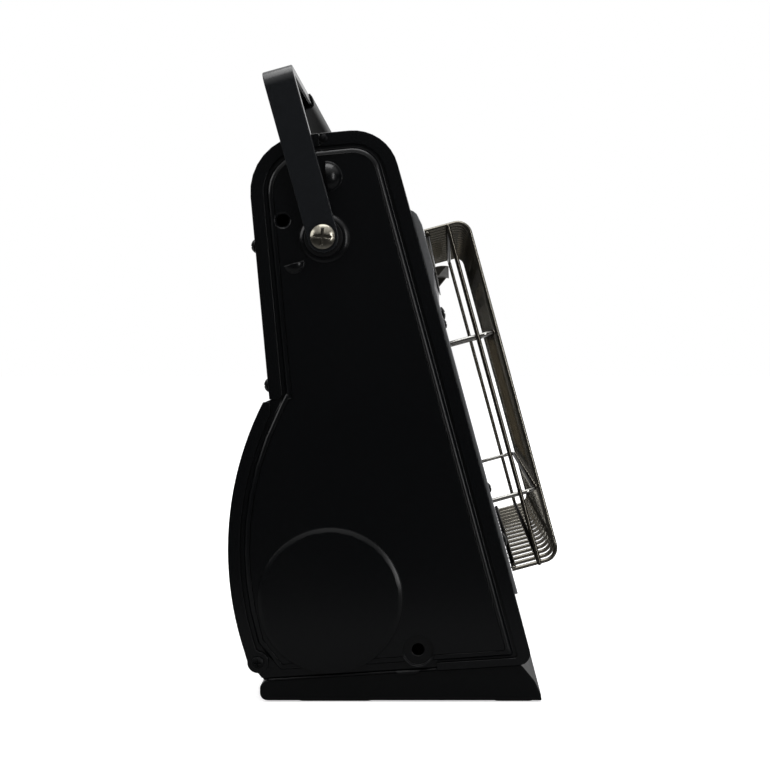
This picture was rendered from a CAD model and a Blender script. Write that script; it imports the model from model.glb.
"""A portable gas heater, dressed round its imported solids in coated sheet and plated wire."""

import logging
import math
from dataclasses import dataclass, field
from enum import Enum

import bpy
from mathutils import Matrix, Vector


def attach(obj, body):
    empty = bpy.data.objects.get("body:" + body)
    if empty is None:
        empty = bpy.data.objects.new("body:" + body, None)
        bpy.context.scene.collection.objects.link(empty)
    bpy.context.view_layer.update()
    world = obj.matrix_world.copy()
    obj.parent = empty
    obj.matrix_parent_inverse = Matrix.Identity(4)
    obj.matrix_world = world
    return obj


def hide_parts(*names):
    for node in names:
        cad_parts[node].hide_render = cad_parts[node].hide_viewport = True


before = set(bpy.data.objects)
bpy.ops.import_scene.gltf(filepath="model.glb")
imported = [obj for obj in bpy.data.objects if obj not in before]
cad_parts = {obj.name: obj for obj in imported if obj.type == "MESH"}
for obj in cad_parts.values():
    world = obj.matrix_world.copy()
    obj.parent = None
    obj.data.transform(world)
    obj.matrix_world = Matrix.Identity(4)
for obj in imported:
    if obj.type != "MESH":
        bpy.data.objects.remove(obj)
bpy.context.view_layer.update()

LOG = logging.getLogger("heater")
MM = 0.001
# The frame of the sloping face: its tilt from upright, and where its zero lies (y and z)
FACE_TILT = math.radians(15.2)
FACE_ZERO_MM = (-68.77, 24.32)
# Slow change of shine across any surface, in patches to the metre
PATCHES_PER_METRE = 22.0
# Where the sum of a finish's pattern and these patches mostly lies
PATTERN_SPAN = (0.6, 1.4)
# How far from its centre a plaque hole ends and the flat land begins, in parts of the pitch
HOLE_RIM = (0.24, 0.34)
# How far the rim's colour reaches in from the edge of a round wire
RIM_BLEND = 0.65


# ---------------------------------------------------------------- colours and nodes
def linear(code: str) -> tuple[float, float, float, float]:
    """Turn an sRGB hex value into the linear colour that Blender works in.

    Args:
        code: six hex digits, with or without a leading hash.

    Returns:
        Red, green, blue and an alpha of one.
    """
    digits = code.lstrip("#")
    parts = [int(digits[k : k + 2], 16) / 255 for k in (0, 2, 4)]
    lin = [p / 12.92 if p <= 0.04045 else ((p + 0.055) / 1.055) ** 2.4 for p in parts]
    return (lin[0], lin[1], lin[2], 1.0)


def add_node(
    tree: bpy.types.NodeTree,
    kind: str,
    settings: dict[str, object] | None = None,
    inputs: dict[str | int, object] | None = None,
) -> bpy.types.Node:
    """Add a shader node, set its properties and fill or link its inputs.

    Args:
        tree: the node tree that gets the node.
        kind: Blender's type name without the ShaderNode prefix.
        settings: properties of the node.
        inputs: input name or number to a value, or to the output socket that feeds it.

    Returns:
        The new node.
    """
    node = tree.nodes.new("ShaderNode" + kind)
    for name, value in (settings or {}).items():
        setattr(node, name, value)
    for name, value in (inputs or {}).items():
        if isinstance(value, bpy.types.NodeSocket):
            tree.links.new(value, node.inputs[name])
        else:
            node.inputs[name].default_value = value
    return node


# ---------------------------------------------------------------- finishes
class Grain(Enum):
    """How a surface was made, which decides the pattern on it."""

    POWDER = "powder"
    BRUSHED = "brushed"
    SPANGLE = "spangle"
    CAST = "cast"
    MOULDED = "moulded"
    PLATED = "plated"
    FIBRE = "fibre"
    PIERCED = "pierced"


# Finer levels of noise in a pattern, where a finish needs other than the usual ones
USUAL_DETAIL = 3.0
NOISE_DETAIL: dict[Grain, float] = {Grain.POWDER: 2.0, Grain.BRUSHED: 6.0, Grain.FIBRE: 8.0}


class Slot(Enum):
    """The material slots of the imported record."""

    BODY = "body_sheet"
    TRIM = "trim_sheet"
    RUBBER = "rubber"
    BRIGHT = "bright_steel"
    POLISHED = "polished_steel"
    WIRE = "guard_wire"
    REFLECTOR = "reflector_alloy"
    ZINC = "zinc_steel"
    CERAMIC = "ceramic"
    FIBRE = "fibre"
    BRASS = "brass"
    CAST = "cast_alloy"
    PLASTIC = "black_plastic"


@dataclass(frozen=True)
class Finish:
    """One real finish: its colour, its shine and the pattern its making leaves.

    The shade is the colour in the low places of the pattern, and the rim the colour at the
    edge of a round wire, where plating is thin and darkened. The roughness strays by the spread
    to both sides. The pattern has the size grain_mm and the height depth_mm, and is stretched
    on an axis that has less than one in along. A sharp edge looks as if rounded by edge_mm.
    """

    name: str
    base: str
    shade: str
    metallic: float
    roughness: float
    spread: float
    grain: Grain
    grain_mm: float
    depth_mm: float
    slot: Slot
    specular: float = 0.5
    edge_mm: float = 0.25
    rim: str | None = None
    along: tuple[float, float, float] = (1.0, 1.0, 1.0)

    def pattern(self, tree: bpy.types.NodeTree) -> bpy.types.NodeSocket:
        """Draw the pattern as a height between zero and one.

        Args:
            tree: the material's node tree.

        Returns:
            The socket that carries the height.
        """
        place = add_node(tree, "TexCoord")
        turned = add_node(
            tree,
            "Mapping",
            {"vector_type": "POINT"},
            {"Vector": place.outputs["Object"], "Scale": self.along},
        )
        per_metre = 1 / (self.grain_mm * MM)
        if self.grain is Grain.PIERCED:
            return self.pierced(tree, per_metre)
        if self.grain in (Grain.SPANGLE, Grain.CAST):
            cells = add_node(
                tree,
                "TexVoronoi",
                {"feature": "F1" if self.grain is Grain.SPANGLE else "SMOOTH_F1"},
                {"Vector": turned.outputs[0], "Scale": per_metre},
            )
            out = cells.outputs["Color" if self.grain is Grain.SPANGLE else "Distance"]
            grey = add_node(tree, "RGBToBW", None, {0: out})
            return grey.outputs[0]
        noise = add_node(
            tree,
            "TexNoise",
            None,
            {
                "Vector": turned.outputs[0],
                "Scale": per_metre,
                "Detail": NOISE_DETAIL.get(self.grain, USUAL_DETAIL),
                "Roughness": 0.55,
            },
        )
        return noise.outputs["Fac"]

    def pierced(self, tree: bpy.types.NodeTree, per_metre: float) -> bpy.types.NodeSocket:
        """Draw rows of small holes on the plane of the heater's face.

        Args:
            tree: the material's node tree.
            per_metre: holes to the metre.

        Returns:
            The socket that is zero in a hole and one on the land between.
        """
        place = add_node(tree, "TexCoord")
        flat = add_node(
            tree,
            "Mapping",
            {"vector_type": "POINT"},
            {"Vector": place.outputs["Object"], "Rotation": (FACE_TILT - math.pi / 2, 0.0, 0.0)},
        )
        cells = add_node(
            tree,
            "TexVoronoi",
            {"feature": "F1", "voronoi_dimensions": "2D"},
            {"Vector": flat.outputs[0], "Scale": per_metre, "Randomness": 0.0},
        )
        land = add_node(
            tree,
            "MapRange",
            None,
            {
                "Value": cells.outputs["Distance"],
                "From Min": HOLE_RIM[0],
                "From Max": HOLE_RIM[1],
            },
        )
        return land.outputs[0]

    def colour(
        self, tree: bpy.types.NodeTree, height: bpy.types.NodeSocket
    ) -> bpy.types.NodeSocket:
        """Mix the colours by the pattern, and towards the rim on round wire.

        Args:
            tree: the material's node tree.
            height: the pattern.

        Returns:
            The socket with the colour.
        """
        tint = add_node(
            tree,
            "Mix",
            {"data_type": "RGBA"},
            {"Factor": height, 6: linear(self.shade), 7: linear(self.base)},
        )
        if self.rim is None:
            return tint.outputs[2]
        facing = add_node(tree, "LayerWeight", None, {"Blend": RIM_BLEND})
        edge = add_node(
            tree,
            "Mix",
            {"data_type": "RGBA"},
            {"Factor": facing.outputs["Facing"], 6: tint.outputs[2], 7: linear(self.rim)},
        )
        return edge.outputs[2]

    def build(self) -> bpy.types.Material:
        """Make the material, or give the one already made.

        Returns:
            The material with its nodes.
        """
        known = bpy.data.materials.get(self.name)
        if known:
            return known
        material = bpy.data.materials.new(self.name)
        material.use_nodes = True
        tree = material.node_tree
        tree.nodes.clear()
        height = self.pattern(tree)
        place = add_node(tree, "TexCoord")
        cloud = add_node(
            tree,
            "TexNoise",
            None,
            {"Vector": place.outputs["Object"], "Scale": PATCHES_PER_METRE, "Detail": 3.0},
        )
        both = add_node(
            tree, "Math", {"operation": "ADD"}, {0: height, 1: cloud.outputs["Fac"]}
        )
        rough = add_node(
            tree,
            "MapRange",
            None,
            {
                "Value": both.outputs[0],
                "From Min": PATTERN_SPAN[0],
                "From Max": PATTERN_SPAN[1],
                "To Min": max(0.02, self.roughness - self.spread),
                "To Max": min(1.0, self.roughness + self.spread),
            },
        )
        rounded = add_node(tree, "Bevel", {"samples": 4}, {"Radius": self.edge_mm * MM})
        bump = add_node(
            tree,
            "Bump",
            None,
            {
                "Height": height,
                "Distance": self.depth_mm * MM,
                "Strength": 1.0,
                "Normal": rounded.outputs[0],
            },
        )
        values = {
            "Base Color": self.colour(tree, height),
            "Roughness": rough.outputs[0],
            "Metallic": self.metallic,
            "Specular IOR Level": self.specular,
            "Normal": bump.outputs[0],
        }
        if self.rim is not None:
            values["Specular Tint"] = linear(self.rim)
        shader = add_node(tree, "BsdfPrincipled", None, values)
        add_node(tree, "OutputMaterial", None, {"Surface": shader.outputs[0]})
        return material


# Satin black powder coat on pressed steel: deep black, a fine orange peel in its sheen
POWDER_COAT = Finish(
    name="powder_coated_steel", base="07080a", shade="050607",
    metallic=0.0, roughness=0.24, spread=0.03,
    grain=Grain.POWDER, grain_mm=0.9, depth_mm=0.001,
    slot=Slot.BODY, specular=0.34, edge_mm=0.4,
)
# The same coat on the stamped base, where it lies thinner and duller
BASE_COAT = Finish(
    name="enamelled_steel_base", base="08090a", shade="050607",
    metallic=0.0, roughness=0.4, spread=0.04,
    grain=Grain.POWDER, grain_mm=1.2, depth_mm=0.001,
    slot=Slot.TRIM, specular=0.18, edge_mm=0.5,
)
# The coat of the handle, rubbed glossy and a little greyer by the hand
HANDLE_COAT = Finish(
    name="enamelled_steel_handle", base="15171a", shade="0f1113",
    metallic=0.0, roughness=0.24, spread=0.04,
    grain=Grain.POWDER, grain_mm=1.2, depth_mm=0.001,
    slot=Slot.TRIM, specular=0.5, edge_mm=0.5,
)
# Grey metallic enamel of the bezel over brushed sheet, a dull silver beside the black
GREY_ENAMEL = Finish(
    name="grey_metallic_enamel", base="949597", shade="7e7f81",
    metallic=0.65, roughness=0.4, spread=0.06,
    grain=Grain.BRUSHED, grain_mm=0.8, depth_mm=0.004,
    slot=Slot.BRIGHT, edge_mm=0.5, along=(0.05, 1.0, 1.0),
)
# Bright nickel plate on drawn wire, browned by heat and dark where it turns away
NICKEL_WIRE = Finish(
    name="nickel_plated_wire", base="a8a49a", shade="868278",
    metallic=1.0, roughness=0.14, spread=0.04,
    grain=Grain.PLATED, grain_mm=1.5, depth_mm=0.002,
    slot=Slot.WIRE, rim="1c1a17",
)
# The thicker rods of the guard, browned more strongly
NICKEL_ROD = Finish(
    name="nickel_plated_rod", base="7d7970", shade="5c584f",
    metallic=1.0, roughness=0.14, spread=0.04,
    grain=Grain.PLATED, grain_mm=1.5, depth_mm=0.002,
    slot=Slot.WIRE, rim="12100f",
)
# Polished chrome on the rungs, the brightest lines of the guard, and on the knob's shaft
CHROME = Finish(
    name="polished_chrome_plate", base="d2d1cd", shade="b9b8b3",
    metallic=1.0, roughness=0.12, spread=0.04,
    grain=Grain.PLATED, grain_mm=2.0, depth_mm=0.002,
    slot=Slot.POLISHED, rim="35332f",
)
# Nickel on the pivot screws, warm and slightly worn in the recess
NICKEL_SCREW = Finish(
    name="nickel_plated_screws", base="c2bdb0", shade="8f8a7d",
    metallic=1.0, roughness=0.22, spread=0.07,
    grain=Grain.PLATED, grain_mm=1.1, depth_mm=0.006,
    slot=Slot.POLISHED, edge_mm=0.2, rim="3a3832",
)
# Stainless sheet, a warm grey with the fine line of its rolling
STAINLESS = Finish(
    name="rolled_stainless_steel", base="9a9894", shade="7f7d79",
    metallic=1.0, roughness=0.28, spread=0.08,
    grain=Grain.BRUSHED, grain_mm=0.8, depth_mm=0.004,
    slot=Slot.BRIGHT, along=(0.05, 1.0, 1.0),
)
# The same sheet over the flame, browned and dulled by its heat
HEATED_STAINLESS = Finish(
    name="heat_browned_stainless", base="73716c", shade="5c5a55",
    metallic=1.0, roughness=0.34, spread=0.06,
    grain=Grain.BRUSHED, grain_mm=0.8, depth_mm=0.004,
    slot=Slot.BRIGHT, along=(0.05, 1.0, 1.0),
)
# Pressed and polished aluminium of the reflector, slightly hazed
MIRROR_ALUMINIUM = Finish(
    name="polished_aluminium", base="dcdddf", shade="cfd0d2",
    metallic=1.0, roughness=0.14, spread=0.06,
    grain=Grain.BRUSHED, grain_mm=1.2, depth_mm=0.004,
    slot=Slot.REFLECTOR, along=(0.3, 1.0, 1.0), edge_mm=0.3,
)
# Hot-dip galvanised sheet inside the body, with its spangle
GALVANISED = Finish(
    name="galvanised_steel_sheet", base="8f9294", shade="787b7e",
    metallic=0.9, roughness=0.42, spread=0.12,
    grain=Grain.SPANGLE, grain_mm=6.0, depth_mm=0.003,
    slot=Slot.ZINC,
)
# Zinc plate on hidden screws and nuts, silvery with a faint warm tint
ZINC_PLATE = Finish(
    name="zinc_plated_screws", base="9b9c97", shade="85867f",
    metallic=1.0, roughness=0.3, spread=0.1,
    grain=Grain.PLATED, grain_mm=1.0, depth_mm=0.004,
    slot=Slot.ZINC,
)
# Blackened steel of the small fasteners, a little lighter and duller than the coat around them
BLACK_OXIDE = Finish(
    name="black_oxide_screws", base="141516", shade="0c0d0e",
    metallic=0.6, roughness=0.36, spread=0.08,
    grain=Grain.PLATED, grain_mm=0.9, depth_mm=0.004,
    slot=Slot.BODY, specular=0.3,
)
# Cordierite plaque, matt, with its rows of flame holes at 2.4 mm
CORDIERITE = Finish(
    name="cordierite_ceramic", base="d8ccb8", shade="3a332b",
    metallic=0.0, roughness=0.85, spread=0.05,
    grain=Grain.PIERCED, grain_mm=2.4, depth_mm=0.5,
    slot=Slot.CERAMIC,
)
# Off-white glazed alumina of the electrode's insulator, with a soft gloss
ALUMINA = Finish(
    name="glazed_alumina", base="ece7dc", shade="e2dccf",
    metallic=0.0, roughness=0.25, spread=0.06,
    grain=Grain.MOULDED, grain_mm=1.5, depth_mm=0.003,
    slot=Slot.CERAMIC,
)
# Pale, dull, fluffy mineral fibre of the gasket
MINERAL_FIBRE = Finish(
    name="mineral_fibre_board", base="c2beb2", shade="aaa697",
    metallic=0.0, roughness=0.95, spread=0.03,
    grain=Grain.FIBRE, grain_mm=0.6, depth_mm=0.03,
    slot=Slot.FIBRE,
)
# Machined brass, warm and still bright, with fine tool lines
BRASS = Finish(
    name="machined_brass", base="c9a55c", shade="b28c45",
    metallic=1.0, roughness=0.26, spread=0.1,
    grain=Grain.BRUSHED, grain_mm=0.5, depth_mm=0.004,
    slot=Slot.BRASS, along=(0.2, 1.0, 1.0),
)
# Pressure-cast zinc alloy of valve and regulator, dull grey with a fine cast skin
DIE_CAST = Finish(
    name="die_cast_alloy", base="9a9c9f", shade="86888b",
    metallic=0.9, roughness=0.45, spread=0.1,
    grain=Grain.CAST, grain_mm=0.8, depth_mm=0.01,
    slot=Slot.CAST,
)
# Moulded black plastic with a fine spark-eroded texture
MOULDED_BLACK = Finish(
    name="moulded_phenolic", base="0c0d0e", shade="08090a",
    metallic=0.0, roughness=0.46, spread=0.06,
    grain=Grain.MOULDED, grain_mm=0.35, depth_mm=0.012,
    slot=Slot.PLASTIC, specular=0.3,
)
# Matt black rubber of the feet, with hardly a highlight
RUBBER = Finish(
    name="moulded_rubber", base="0a0a0a", shade="060606",
    metallic=0.0, roughness=0.8, spread=0.05,
    grain=Grain.MOULDED, grain_mm=0.6, depth_mm=0.015,
    slot=Slot.RUBBER, specular=0.2,
)

NODE_FINISH: dict[Finish, tuple[str, ...]] = {
    POWDER_COAT: (
        "front_shell", "rear_shell", "side_panel_left", "side_panel_right", "floor_pan",
        "cartridge_door",
    ),
    BASE_COAT: ("base_tray",),
    HANDLE_COAT: ("handle_strap",),
    GREY_ENAMEL: ("front_bezel",),
    NICKEL_WIRE: ("guard_wires",),
    NICKEL_ROD: ("guard_loop",),
    CHROME: ("guard_rungs", "control_shaft"),
    NICKEL_SCREW: ("handle_screws",),
    STAINLESS: ("burner_frame", "ignition_electrode", "door_catch"),
    HEATED_STAINLESS: ("reflector_hood",),
    MIRROR_ALUMINIUM: ("reflector",),
    GALVANISED: (
        "burner_plenum", "mixer_tube", "regulator_bracket", "cartridge_cradle", "heat_shield",
    ),
    ZINC_PLATE: ("handle_nuts", "base_screws"),
    BLACK_OXIDE: ("bezel_screws", "back_screws", "seam_rivets", "door_hinge_screws"),
    CORDIERITE: ("ceramic_plaque",),
    ALUMINA: ("electrode_insulator",),
    MINERAL_FIBRE: ("plaque_gasket",),
    BRASS: ("gas_injector", "injector_bracket", "gas_tube", "thermocouple"),
    DIE_CAST: ("valve_block", "regulator"),
    MOULDED_BLACK: (
        "handle_grip", "handle_spacers", "control_knob", "cartridge_lever", "piezo_igniter",
        "tilt_switch",
    ),
    RUBBER: ("rubber_feet",),
}


FINISH_OF: dict[str, Finish] = {
    name: finish for finish, names in NODE_FINISH.items() for name in names
}


def dress_nodes() -> None:
    """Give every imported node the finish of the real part."""
    for finish, names in NODE_FINISH.items():
        for name in names:
            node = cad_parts[name]
            node.data.materials.clear()
            node.data.materials.append(finish.build())
            LOG.info("%s: %s", name, finish.name)


# ---------------------------------------------------------------- working by hand
def take(piece: bpy.types.Object) -> None:
    """Deselect everything and make one piece the selected and active one."""
    bpy.ops.object.select_all(action="DESELECT")
    piece.select_set(True)
    bpy.context.view_layer.objects.active = piece


def paint(piece: bpy.types.Object, finish: Finish, body: str) -> None:
    """Give a new piece its finish and the body that it moves with.

    Args:
        piece: the finished mesh object.
        finish: the finish of the real piece.
        body: the name of the body in the record.
    """
    piece.data.materials.clear()
    piece.data.materials.append(finish.build())
    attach(piece, body)
    LOG.info("%s: %s on %s, %d faces", piece.name, finish.name, body, len(piece.data.polygons))


def face_point(x: float, s: float, n: float) -> Vector:
    """Turn a place on the sloping face, in mm, into one in the heater's frame, in metres.

    Args:
        x: across.
        s: up the face.
        n: out of the face.

    Returns:
        The point.
    """
    sine, cosine = math.sin(FACE_TILT), math.cos(FACE_TILT)
    y = FACE_ZERO_MM[0] + sine * s - cosine * n
    z = FACE_ZERO_MM[1] + cosine * s + sine * n
    return Vector((x, y, z)) * MM


# ---------------------------------------------------------------- rounded sheet and mouldings
@dataclass
class SoftEdges:
    """Pieces whose solids have the right shape, with edges that are rolled, coated or moulded.

    An edge sharper than seam_deg is rounded. Points closer than join_m become one, because a
    solid's triangles come loose from each other.
    """

    body: str
    radius_mm: float
    steps: int
    nodes: tuple[str, ...]
    seam_deg: float = 42.0
    smooth_deg: float = 36.0
    join_m: float = 2e-6

    def build(self) -> None:
        """Make a rounded copy of every node."""
        for name in self.nodes:
            self.soften(name)

    def soften(self, name: str) -> bpy.types.Object:
        """Copy a node's mesh, join its loose triangles and round its sharp edges.

        Args:
            name: the node.

        Returns:
            The finished copy, which stands for the node.
        """
        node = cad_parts[name]
        piece = bpy.data.objects.new(f"{name}_rounded", node.data.copy())
        bpy.context.scene.collection.objects.link(piece)
        take(piece)
        bpy.ops.object.mode_set(mode="EDIT")
        bpy.ops.mesh.select_all(action="SELECT")
        bpy.ops.mesh.remove_doubles(threshold=self.join_m)
        bpy.ops.object.mode_set(mode="OBJECT")
        edges = piece.modifiers.new("rolled_edges", "BEVEL")
        edges.width = self.radius_mm * MM
        edges.segments = self.steps
        edges.limit_method = "ANGLE"
        edges.angle_limit = math.radians(self.seam_deg)
        edges.use_clamp_overlap = False
        edges.loop_slide = False
        bpy.ops.object.modifier_apply(modifier=edges.name)
        bpy.ops.object.shade_smooth_by_angle(angle=math.radians(self.smooth_deg))
        flats = piece.modifiers.new("true_flats", "WEIGHTED_NORMAL")
        flats.keep_sharp = True
        bpy.ops.object.modifier_apply(modifier=flats.name)
        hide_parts(name)
        paint(piece, FINISH_OF[name], self.body)
        return piece


# ---------------------------------------------------------------- guard
@dataclass
class GuardWelds:
    """Resistance welds where the guard's wires cross its rods and rungs.

    The low, top and rung places lie up the face, and the out, rod and root places out of it. The
    centres of two crossing wires lie gap_mm apart. A wire nearer than clear_mm to the side of
    the guard passes beside the bends of the rungs and isn't welded to them.
    """

    wires: int = 17
    width_mm: float = 218.0
    low_mm: float = 42.5
    top_mm: float = 232.5
    out_mm: float = 28.3
    gap_mm: float = 2.35
    rung_s_mm: tuple[float, float] = (81.0, 170.0)
    rod_n_mm: float = 17.4
    root_n_mm: tuple[float, float] = (3.35, 5.55)
    clear_mm: float = 10.0
    bead_mm: tuple[float, float, float] = (1.5, 1.5, 0.9)

    def places(self) -> list[tuple[Vector, bool]]:
        """List every crossing.

        Returns:
            Its point, and whether the two wires lie one in front of the other.
        """
        across = [
            -self.width_mm / 2 + k * self.width_mm / (self.wires - 1) for k in range(self.wires)
        ]
        spots = []
        for x in across:
            if abs(x) < self.width_mm / 2 - self.clear_mm:
                n = self.out_mm - self.gap_mm / 2
                spots += [(face_point(x, s, n), True) for s in self.rung_s_mm]
            for s, side, root in (
                (self.low_mm, 1, self.root_n_mm[0]),
                (self.top_mm, -1, self.root_n_mm[1]),
            ):
                at = s + side * self.gap_mm / 2
                spots += [(face_point(x, at, n), False) for n in (self.rod_n_mm, root)]
        return spots

    def build(self) -> None:
        """Shape one bead and set a copy of it at every crossing."""
        bpy.ops.object.select_all(action="DESELECT")
        bpy.ops.mesh.primitive_uv_sphere_add(segments=8, ring_count=6, radius=MM)
        bead = bpy.context.object
        bpy.ops.object.mode_set(mode="EDIT")
        bpy.ops.mesh.select_all(action="SELECT")
        bpy.ops.transform.resize(value=self.bead_mm)
        bpy.ops.object.mode_set(mode="OBJECT")
        bpy.ops.object.shade_smooth()
        copies = []
        for at, in_front in self.places():
            copy = bpy.data.objects.new("weld", bead.data.copy())
            bpy.context.scene.collection.objects.link(copy)
            turn = FACE_TILT - math.pi / 2 if in_front else FACE_TILT
            copy.data.transform(Matrix.Translation(at) @ Matrix.Rotation(-turn, 4, "X"))
            copies.append(copy)
        bpy.ops.object.select_all(action="DESELECT")
        bead.select_set(True)
        bpy.ops.object.delete()
        for copy in copies:
            copy.select_set(True)
        bpy.context.view_layer.objects.active = copies[0]
        bpy.ops.object.join()
        welds = bpy.context.object
        welds.name = "guard_welds"
        paint(welds, NICKEL_WIRE, "body")


# ---------------------------------------------------------------- studio
def choose_by_ray(
    tree: bpy.types.NodeTree,
    soft: bpy.types.Node,
    mirrored: bpy.types.Node,
    direct: bpy.types.Node,
) -> bpy.types.NodeSocket:
    """Give soft light, mirror-like surfaces and the camera a shader each.

    Args:
        tree: the node tree of the floor or the world.
        soft: the shader that lights matt surfaces.
        mirrored: the shader that polished metal and glass show.
        direct: the shader that the camera sees.

    Returns:
        The socket with the chosen shader.
    """
    path = add_node(tree, "LightPath")
    sharp = add_node(
        tree,
        "Math",
        {"operation": "MAXIMUM"},
        {0: path.outputs["Is Glossy Ray"], 1: path.outputs["Is Transmission Ray"]},
    )
    bounced = add_node(
        tree,
        "MixShader",
        None,
        {0: sharp.outputs[0], 1: soft.outputs[0], 2: mirrored.outputs[0]},
    )
    seen = add_node(
        tree,
        "MixShader",
        None,
        {0: path.outputs["Is Camera Ray"], 1: bounced.outputs[0], 2: direct.outputs[0]},
    )
    return seen.outputs[0]


@dataclass
class Studio:
    """Floor, world, lamps and the camera at the photograph's place.

    The heater stands on white paper before a white backdrop. What its dark coat and its wires
    mirror is dimmer: a room that is dark at the height of the camera and bright overhead, and a
    table that fades from the heater to the camera.
    """

    eye_mm: tuple[float, float, float] = (-705.0, -26.5, 184.8)
    lens_mm: float = 51.2
    shift: tuple[float, float] = (-0.0857, -0.0442)
    # Light of the room as mirrored: level with the heater, overhead, and behind the camera
    room_low: float = 0.03
    room_high: float = 0.9
    glow: float = 0.02
    floor_m: float = 14.0
    # Light added to the paper, so that it shows white and still keeps the heater's shadow
    paper_lift: float = 0.62
    # How white the table is in a mirror, by place from the camera's side (-) to the heater
    table_mm: tuple[tuple[float, float], ...] = (
        (-400.0, 0.02), (-280.0, 0.12), (-215.0, 0.1), (-170.0, 0.1), (-133.0, 0.1), (-118.0, 0.3),
    )
    table_span_mm: float = 500.0
    pieces: list[str] = field(default_factory=list)

    def build(self) -> None:
        """Make the whole studio."""
        self.camera()
        self.floor()
        self.world()
        self.lamps()
        bpy.context.scene.view_settings.view_transform = "Standard"
        LOG.info("studio: %s", ", ".join(self.pieces))

    def camera(self) -> None:
        """Place the camera to the left of the heater, square to its side panel."""
        data = bpy.data.cameras.new("photo_camera")
        data.lens = self.lens_mm
        data.sensor_width = 36.0
        data.shift_x, data.shift_y = self.shift
        data.clip_start = 0.01
        eye = bpy.data.objects.new("photo_camera", data)
        eye.location = [v * MM for v in self.eye_mm]
        eye.rotation_euler = (math.radians(90), 0.0, math.radians(-90))
        bpy.context.scene.collection.objects.link(eye)
        bpy.context.scene.camera = eye
        self.pieces.append("camera")

    def floor(self) -> None:
        """Lay a wide pale floor that shows white but keeps the heater's shadow."""
        bpy.ops.object.select_all(action="DESELECT")
        bpy.ops.mesh.primitive_plane_add(size=self.floor_m, location=(0, 0, 0))
        ground = bpy.context.object
        ground.name = "studio_floor"
        material = bpy.data.materials.new("white_seamless_paper")
        material.use_nodes = True
        tree = material.node_tree
        tree.nodes.clear()
        place = add_node(tree, "TexCoord")
        noise = add_node(
            tree, "TexNoise", None, {"Vector": place.outputs["Object"], "Scale": 900.0}
        )
        bump = add_node(tree, "Bump", None, {"Height": noise.outputs["Fac"], "Distance": 1e-5})
        paper = add_node(
            tree,
            "BsdfDiffuse",
            None,
            {"Color": linear("f7f7f7"), "Normal": bump.outputs[0]},
        )
        white = add_node(
            tree, "Emission", None, {"Color": linear("ffffff"), "Strength": self.paper_lift}
        )
        lifted = add_node(tree, "AddShader", None, {0: paper.outputs[0], 1: white.outputs[0]})
        black = add_node(tree, "BsdfDiffuse", None, {"Color": linear("0a0a0a")})
        mirrored = add_node(
            tree,
            "MixShader",
            None,
            {0: self.table_whiteness(tree, place), 1: black.outputs[0], 2: lifted.outputs[0]},
        )
        seen = choose_by_ray(tree, soft=paper, mirrored=mirrored, direct=lifted)
        add_node(tree, "OutputMaterial", None, {"Surface": seen})
        ground.data.materials.append(material)
        self.pieces.append("floor")

    def table_whiteness(
        self, tree: bpy.types.NodeTree, place: bpy.types.Node
    ) -> bpy.types.NodeSocket:
        """Grade how white the table looks in a mirror, along the way from camera to heater.

        Args:
            tree: the floor's node tree.
            place: its texture coordinates.

        Returns:
            The socket that is one where the table shows as white paper.
        """
        split = add_node(tree, "SeparateXYZ", None, {0: place.outputs["Object"]})
        near = add_node(
            tree,
            "MapRange",
            None,
            {
                "Value": split.outputs["X"],
                "From Min": -self.table_span_mm * MM,
                "From Max": 0.0,
            },
        )
        ramp = add_node(tree, "ValToRGB", None, {"Fac": near.outputs[0]})
        stops = ramp.color_ramp.elements
        for at, _ in self.table_mm[1:-1]:
            stops.new(1 + at / self.table_span_mm)
        for stop, (at, level) in zip(stops, self.table_mm):
            stop.position = 1 + at / self.table_span_mm
            stop.color = (level, level, level, 1.0)
        return ramp.outputs["Color"]

    def world(self) -> None:
        """Stand a white backdrop behind the heater in a room that is dark at its own height.

        Mirror-like surfaces see the backdrop, the dark room beside it that draws the edges of
        the wires, and a faint glow behind the camera. The camera sees white all round.
        """
        world = bpy.data.worlds.new("soft_studio")
        bpy.context.scene.world = world
        world.use_nodes = True
        tree = world.node_tree
        tree.nodes.clear()
        place = add_node(tree, "TexCoord")
        split = add_node(tree, "SeparateXYZ", None, {0: place.outputs["Generated"]})
        # Along which axis of the view each light changes, from where to where, and its strengths
        plan = {
            "overhead": ("Z", 0.2, 0.9, self.room_low, self.room_high),
            "behind": ("X", -0.99, -0.86, self.glow, 0.0),
            "backdrop": ("X", 0.62, 0.86, 0.0, 1.0),
        }
        light = {}
        for name, (axis, start, end, first, last) in plan.items():
            light[name] = add_node(
                tree,
                "MapRange",
                {"interpolation_type": "SMOOTHSTEP"},
                {
                    "Value": split.outputs[axis],
                    "From Min": start,
                    "From Max": end,
                    "To Min": first,
                    "To Max": last,
                },
            ).outputs[0]
        dim = add_node(
            tree, "Math", {"operation": "ADD"}, {0: light["overhead"], 1: light["behind"]}
        )
        bright = add_node(
            tree, "Math", {"operation": "MAXIMUM"}, {0: dim.outputs[0], 1: light["backdrop"]}
        )
        room, mirrored, white = (
            add_node(tree, "Background", None, {"Color": linear("ffffff"), "Strength": strength})
            for strength in (light["overhead"], bright.outputs[0], 1.0)
        )
        seen = choose_by_ray(tree, soft=room, mirrored=mirrored, direct=white)
        add_node(tree, "OutputWorld", None, {"Surface": seen})
        self.pieces.append("world")

    def lamps(self) -> None:
        """Hang the softboxes: over the top, at the front and at the back."""
        middle = Vector((0, 0, 0.15))
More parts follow.
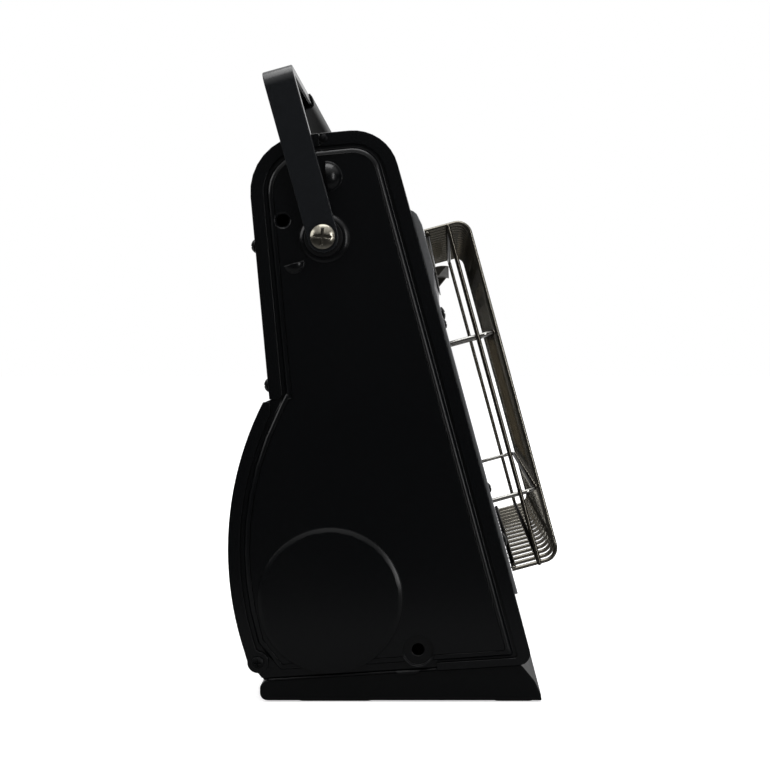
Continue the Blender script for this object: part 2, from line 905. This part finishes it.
        # Name, place in metres, width and height, watts
        plan = (
            ("top_softbox", (-0.1, 0.0, 1.3), (0.9, 0.9), 9.0),
            ("front_strip", (-1.1, -1.0, 0.45), (0.22, 0.9), 4.0),
            ("back_softbox", (-0.5, 1.4, 0.8), (0.7, 0.7), 4.0),
        )
        for name, at, size, watts in plan:
            data = bpy.data.lights.new(name, "AREA")
            data.shape = "RECTANGLE"
            data.size, data.size_y = size
            data.energy = watts
            lamp = bpy.data.objects.new(name, data)
            lamp.location = at
            aim = middle - Vector(at)
            lamp.rotation_euler = aim.to_track_quat("-Z", "Y").to_euler()
            bpy.context.scene.collection.objects.link(lamp)
            self.pieces.append(name)


PIECES = (
    # Bent sheet, with the small radius of its folds and its coat
    SoftEdges(
        body="body", radius_mm=0.3, steps=2,
        nodes=(
            "front_shell", "rear_shell", "floor_pan", "front_bezel", "reflector_hood",
            "burner_frame",
        ),
    ),
    # The side panels, where the shallow flanks of the pressings are rounded too
    SoftEdges(
        body="body", radius_mm=0.3, steps=2, nodes=("side_panel_left", "side_panel_right"),
        seam_deg=30.0,
    ),
    # Plated screw heads, whose cross keeps a crisp edge
    SoftEdges(body="body", radius_mm=0.15, steps=2, nodes=("handle_screws",)),
    # The stamped base and the die-cast valve block
    SoftEdges(body="body", radius_mm=0.5, steps=3, nodes=("base_tray", "valve_block")),
    # Small mouldings and the regulator
    SoftEdges(
        body="body", radius_mm=0.3, steps=2,
        nodes=("rubber_feet", "handle_spacers", "tilt_switch", "regulator"),
    ),
    # What a hand holds or turns, and the bent sheet of the door
    SoftEdges(body="handle", radius_mm=0.55, steps=3, nodes=("handle_strap",)),
    SoftEdges(body="handle", radius_mm=0.8, steps=3, nodes=("handle_grip",)),
    SoftEdges(body="door", radius_mm=0.3, steps=2, nodes=("cartridge_door",)),
    SoftEdges(body="knob", radius_mm=0.6, steps=3, nodes=("control_knob",)),
    SoftEdges(body="lever", radius_mm=0.5, steps=3, nodes=("cartridge_lever",)),
    GuardWelds(),
)


def main() -> None:
    """Build the studio and dress the heater."""
    logging.basicConfig(level=logging.INFO, format="%(name)s %(message)s")
    Studio().build()
    dress_nodes()
    for part in PIECES:
        part.build()


if __name__ == "__main__":
    main()
